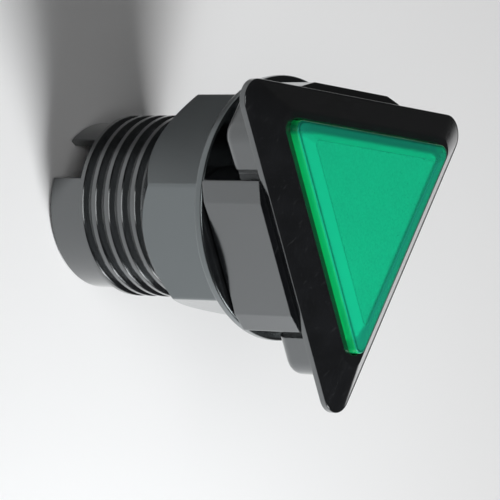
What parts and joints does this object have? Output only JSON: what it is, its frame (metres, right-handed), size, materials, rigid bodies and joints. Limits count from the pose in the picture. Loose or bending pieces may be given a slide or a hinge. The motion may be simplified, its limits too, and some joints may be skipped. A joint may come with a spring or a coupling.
{
  "type": "arcade push button",
  "caption": "Triangular push button with a green bevelled lens in a black sloped bezel, on a threaded barrel with a flanged hexagonal nut, a return spring, a lamp and a lever switch.",
  "frame": {"origin": "on the barrel's axis, in the plane where the base's side blocks seat on the front of a panel", "axes": "+Z along the barrel's axis, out through the lens; +Y towards one corner of the triangle"},
  "size_m": [0.046, 0.0433, 0.0451],
  "materials": {
    "black_plastic": "black moulded plastic with a soft gloss",
    "nut_plastic": "black moulded plastic with a soft gloss",
    "green_lens": "green clear plastic, smooth",
    "white_plastic": "white moulded plastic",
    "spring_steel": "bright drawn steel",
    "block_plastic": "black moulded plastic, dull",
    "clear_led": "clear cast resin",
    "tab_brass": "stamped brass",
    "switch_plastic": "dark moulded plastic",
    "pin_plastic": "red moulded plastic"
  },
  "bodies": {
    "base": {"housing": "black_plastic", "mounting_nut": "nut_plastic", "return_spring": "spring_steel", "contact_block": "block_plastic", "lamp_base": "white_plastic", "led_dome": "clear_led", "lamp_lead_left": "spring_steel", "lamp_lead_right": "spring_steel", "lamp_terminal_left": "tab_brass", "lamp_terminal_right": "tab_brass", "switch_case": "switch_plastic", "switch_cover": "switch_plastic", "terminal_common": "tab_brass", "terminal_closed": "tab_brass", "terminal_open": "tab_brass"},
    "button": {"lens_cap": "green_lens", "diffuser_plate": "white_plastic", "plunger": "white_plastic"},
    "lever": {"switch_lever": "spring_steel"},
    "pin": {"switch_pin": "pin_plastic"}
  },
  "joints": [
    {"name": "button_press", "type": "slide", "parent": "base", "child": "button", "axis": [0, 0, -1], "range_m": [0, 0.0023], "stiffness_N_per_m": 250, "springref_m": -0.004, "deforming": ["return_spring"]},
    {"name": "lever_swing", "type": "hinge", "parent": "base", "child": "lever", "pos_m": [-0.0056, 0.0041, -0.01021], "axis": [0, 1, 0], "range_deg": [0, 12.1]},
    {"name": "pin_press", "type": "slide", "parent": "base", "child": "pin", "axis": [0, 0, -1], "range_m": [0, 0.0007]}
  ],
  "couplings": [
    {"joint": "lever_swing", "follows": "button_press", "rad_per_m": 91.06},
    {"joint": "pin_press", "follows": "button_press", "ratio": 0.2922}
  ]
}
